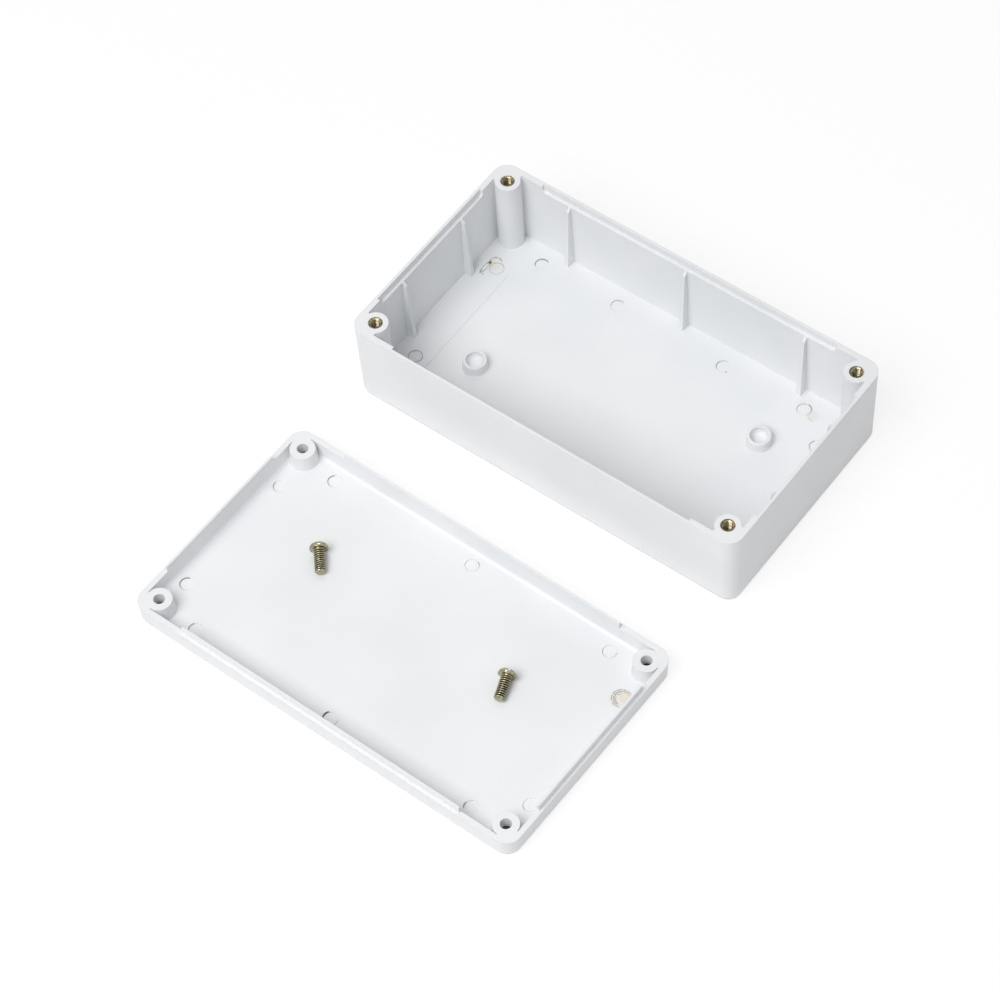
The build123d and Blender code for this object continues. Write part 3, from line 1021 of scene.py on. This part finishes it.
@dataclass
class ProjectBox:
    """The whole box: base with inserts, lid with screws, and their finishes."""

    boss: tuple[float, float] = (57.2, 29.7)
    base_floor: float = 2.2
    lid_floor: float = 1.4
    base_pins: list[tuple[float, float]] = field(default_factory=lambda: [
        (-44.8, 27.2), (-19.0, 27.4), (16.7, 26.85), (42.8, 27.3), (52.4, 19.0), (-54.3, 18.9),
        (-54.5, -18.2)])
    base_lines: list[tuple[float, float, float, float]] = field(default_factory=lambda: [
        (-50.1, 18.3, -49.9, -19.2)])
    lid_pins: list[tuple[float, float]] = field(default_factory=lambda: [
        (-58.3, -73.1), (-47.25, -63.45), (-59.04, -111.8), (-48.07, -121.53), (44.61, -64.99),
        (54.9, -113.6), (43.0, -122.7), (-0.8, -64.0), (-2.33, -122.6), (55.4, -74.8)])
    base_stains_and_shade: tuple[StainAndShade, ...] = (
        StainAndShade((-55.9, 20.2), 2.0, "#E6E4D6", 0.8, soft=1.6, grain=2.5, cover=1.0),
        StainAndShade((-57.05, 19.5), 0.42, "#4A4634", 0.95, stretch=1.2, soft=0.35, cover=1.2),
        StainAndShade((-55.84, 20.5), 1.67, "#77745F", 0.85, 0.3, 129, 165, grain=0.45, cover=0.65),
        StainAndShade((-57.25, 17.5), 0.55, "#77745F", 0.75, 0.24, stretch=3.8, grain=0.4, cover=0.7),
        StainAndShade((-56.4, 15.1), 0.25, "#9A978A", 0.7, cover=1.2),
        StainAndShade((-54.3, 18.9), 2.05, "#A3A199", 0.65, 0.16, grain=1.2, cover=1.0),
        # Painted shade: darker arcs along the edges of the ejector marks' recesses
        painted_shade_arc((-44.8, 27.2), 145, 170, "#8A8B8D"),
        painted_shade_arc((-19.0, 27.4), 143, 150, "#A5A4A6", 0.6),
        painted_shade_arc((16.7, 26.85), 190, 100, "#8A8D90"),
        painted_shade_arc((16.7, 26.85), 125, 80, "#BDBDC0", 0.6),
        painted_shade_arc((42.8, 27.3), 170, 150, "#BDBDBA", 0.6),
        painted_shade_arc((52.4, 19.0), 200, 130, "#A3A3A2", 0.75),
        # Painted shade: a darker ring and arc along the edge of the ejector mark at (-54.5, -18.2)
        StainAndShade((-54.5, -18.2), 2.0, "#9C9C9B", 0.75, 0.16, grain=1.5, cover=1.1),
        StainAndShade((-54.5, -18.2), 2.0, "#5F605E", 0.85, 0.28, -22, 100, grain=1.5, cover=1.1),
        StainAndShade((42.8, 27.3), 2.1, "#77756C", 0.85, 0.28, 28, 120, grain=1.0, cover=1.1),
        StainAndShade((46.8, 28.0), 2.7, "#8F8D84", 0.7, 0.22, -110, 55, grain=1.0, cover=1.0),
        StainAndShade((46.0, 27.0), 1.7, "#E0DED8", 0.7, soft=1.8, grain=1.5, cover=0.9),
        StainAndShade((18.4, 25.7), 0.35, "#A9A9A6", 0.8, soft=0.3, cover=1.2),
    )
    lid_stains_and_shade: tuple[StainAndShade, ...] = (
        StainAndShade((55.3, -75.0), 2.9, "#E1DED6", 0.7, soft=1.2, grain=2.0, cover=1.0),
        StainAndShade((55.8, -74.2), 1.5, "#DED4C4", 0.75, soft=0.5, grain=2.0, cover=1.2),
        StainAndShade((55.4, -74.8), 2.65, "#8E836D", 0.75, 0.3, 175, 235, grain=0.6, cover=0.75),
        StainAndShade((55.4, -74.8), 2.15, "#6E6350", 0.8, 0.25, 165, 220, grain=0.5, cover=0.75),
        StainAndShade((55.5, -74.8), 1.65, "#7B6F59", 0.75, 0.2, 200, 150, grain=0.5, cover=0.7),
        # Painted shadow: dark crescents on the ejector marks beside the lid's front wall
        StainAndShade((-2.33, -122.6), 2.1, "#1E1E1D", 0.98, 0.36, 173, 72, soft=0.15, grain=2.0,
              cover=1.3),
        StainAndShade((-2.33, -122.6), 2.1, "#6A6B6B", 0.8, 0.22, -3, 42, soft=0.15, grain=2.0, cover=1.2),
        StainAndShade((43.0, -122.7), 2.0, "#4E4F4F", 0.85, 0.22, 195, 58, soft=0.15, grain=2.0, cover=1.2),
        # Painted shade: darker arcs along the edges of the ejector marks' recesses
        painted_shade_arc((-58.3, -73.1), 220, 100, "#90918C", 0.75),
        painted_shade_arc((-47.25, -63.45), 210, 160, "#7F8082"),
        painted_shade_arc((-59.04, -111.8), 207, 210, "#6C6C67", 0.85),
        painted_shade_arc((-48.07, -121.53), 177, 85, "#86888A", 0.75),
        painted_shade_arc((44.61, -64.99), -10, 75, "#6F6E66", 0.85),
        StainAndShade((45.9, -64.6), 0.22, "#5A5952", 0.8, cover=1.2),
        # More painted shade arcs along the ejector marks' edges
        painted_shade_arc((44.61, -64.99), 225, 90, "#B4B5B6", 0.5),
        painted_shade_arc((54.9, -113.6), 238, 60, "#A0A2A4", 0.65),
        painted_shade_arc((54.9, -113.6), 318, 60, "#A8AAAC", 0.6),
        painted_shade_arc((-0.8, -64.0), 12, 120, "#8A8D90", 0.75),
    )

    def build(self) -> Iterator[bpy.types.Object]:
        """Make both mouldings, the inserts and the screws.

        Returns:
            Each finished piece, as soon as it is made.
        """
        marks = mould_mark_tree()
        base_finish = MouldedAbs("base_moulded_abs", self.base_floor, self.base_stains_and_shade)
        lid_finish = MouldedAbs("lid_moulded_abs", self.lid_floor, self.lid_stains_and_shade)
        yield Moulding("base", "base_plastic", self.base_floor, self.base_pins,
                       self.base_lines).build(marks, base_finish.make())
        yield Moulding("lid", "lid_plastic", self.lid_floor, self.lid_pins,
                       []).build(marks, lid_finish.make())

        detail = turned_detail_tree()
        brass, zinc = BRASS.make(), ZINC.make()
        for end, side_y in (("front", -1), ("back", 1)):
            for side, side_x in (("left", -1), ("right", 1)):
                corner = (side_x * self.boss[0], side_y * self.boss[1])
                yield ThreadedInsert(f"insert_{end}_{side}", corner).build(detail, brass)
        for screw in (LooseScrew("screw_left", "lid", (-36.2, -84.1), -49.0, -45.0),
                      LooseScrew("screw_right", "lid", (28.1, -87.1), -72.0, 75.0)):
            yield screw.build(detail, zinc)


def main() -> None:
    """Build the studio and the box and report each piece."""
    logging.basicConfig(level=logging.INFO, format="%(message)s")
    Studio().build()
    for piece in ProjectBox().build():
        LOG.info("made %s", piece.name)
    bpy.context.view_layer.update()


if __name__ == "__main__":
    main()
